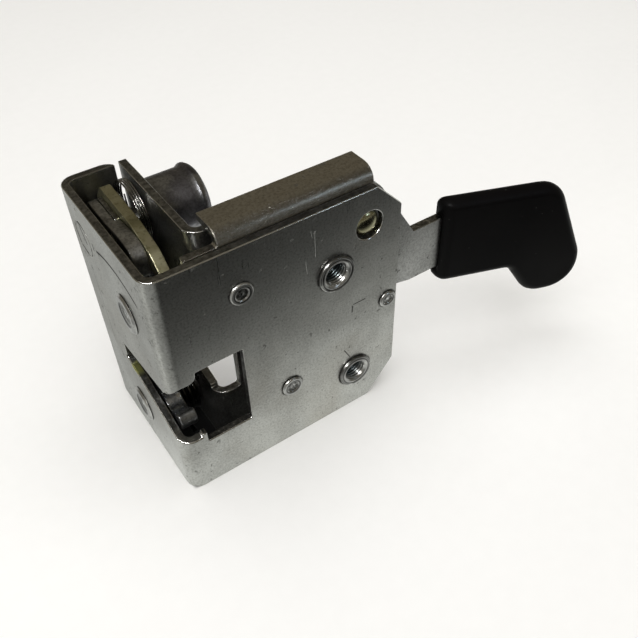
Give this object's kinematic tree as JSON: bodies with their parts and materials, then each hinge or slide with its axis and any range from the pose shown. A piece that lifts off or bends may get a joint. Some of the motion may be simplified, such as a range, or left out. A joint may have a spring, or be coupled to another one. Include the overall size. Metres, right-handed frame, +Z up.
{
  "type": "vehicle door lock",
  "caption": "Rotary latch for a vehicle door in a folded steel case, with a striker slot, a spring-loaded pawl and an inside release lever with a moulded grip.",
  "frame": {"origin": "on the outer face of the side plate, midway between the two threaded inserts that bolt the lock to the door", "axes": "+X runs back from the striker face towards the grip, +Y runs from the side plate into the lock, +Z is up"},
  "size_m": [0.154, 0.0705, 0.0904],
  "materials": {
    "zinc_plate": "dull zinc plate over steel sheet",
    "bright_zinc": "bright zinc plate over turned steel",
    "yellow_zinc": "yellow passivated zinc plate",
    "plain_steel": "blanked steel, lightly oiled",
    "spring_steel": "drawn spring wire",
    "black_plastic": "satin black moulding"
  },
  "bodies": {
    "housing": {"outer_plate": "zinc_plate", "rear_bracket": "zinc_plate", "top_channel": "zinc_plate", "spring_cup": "zinc_plate", "pawl_axle": "bright_zinc", "claw_axle": "bright_zinc", "stop_pin": "bright_zinc", "claw_bush": "plain_steel", "claw_spring": "spring_steel", "spring_washer": "bright_zinc", "pawl_spring": "spring_steel", "lever_pivot": "yellow_zinc", "lever_stop": "bright_zinc", "insert_upper": "bright_zinc", "insert_lower": "bright_zinc", "upper_rivet": "bright_zinc", "lower_rivet": "bright_zinc", "lower_spacer": "zinc_plate"},
    "claw": {"claw": "plain_steel"},
    "pawl": {"pawl": "plain_steel", "pawl_plate": "zinc_plate", "release_arm": "yellow_zinc", "pawl_bush": "bright_zinc", "arm_rivet": "bright_zinc"},
    "lever": {"release_lever": "zinc_plate", "grip": "black_plastic"}
  },
  "joints": [
    {"name": "claw_turn", "type": "hinge", "parent": "housing", "child": "claw", "pos_m": [0, 0.02975, -0.02515], "axis": [-1, 0, 0], "range_deg": [0, 50], "stiffness_Nm_per_rad": 0.15, "springref_deg": -34.38},
    {"name": "pawl_release", "type": "hinge", "parent": "housing", "child": "pawl", "pos_m": [0, 0.0439, 0.03345], "axis": [1, 0, 0], "range_deg": [0, 9.7], "stiffness_Nm_per_rad": 0.3, "springref_deg": -28.65},
    {"name": "lever_swing", "type": "hinge", "parent": "housing", "child": "lever", "pos_m": [0.00845, 0, 0.03455], "axis": [0, -1, 0], "range_deg": [0, 6]}
  ],
  "couplings": [
    {"joint": "pawl_release", "follows": "lever_swing", "ratio": 1.6167}
  ]
}
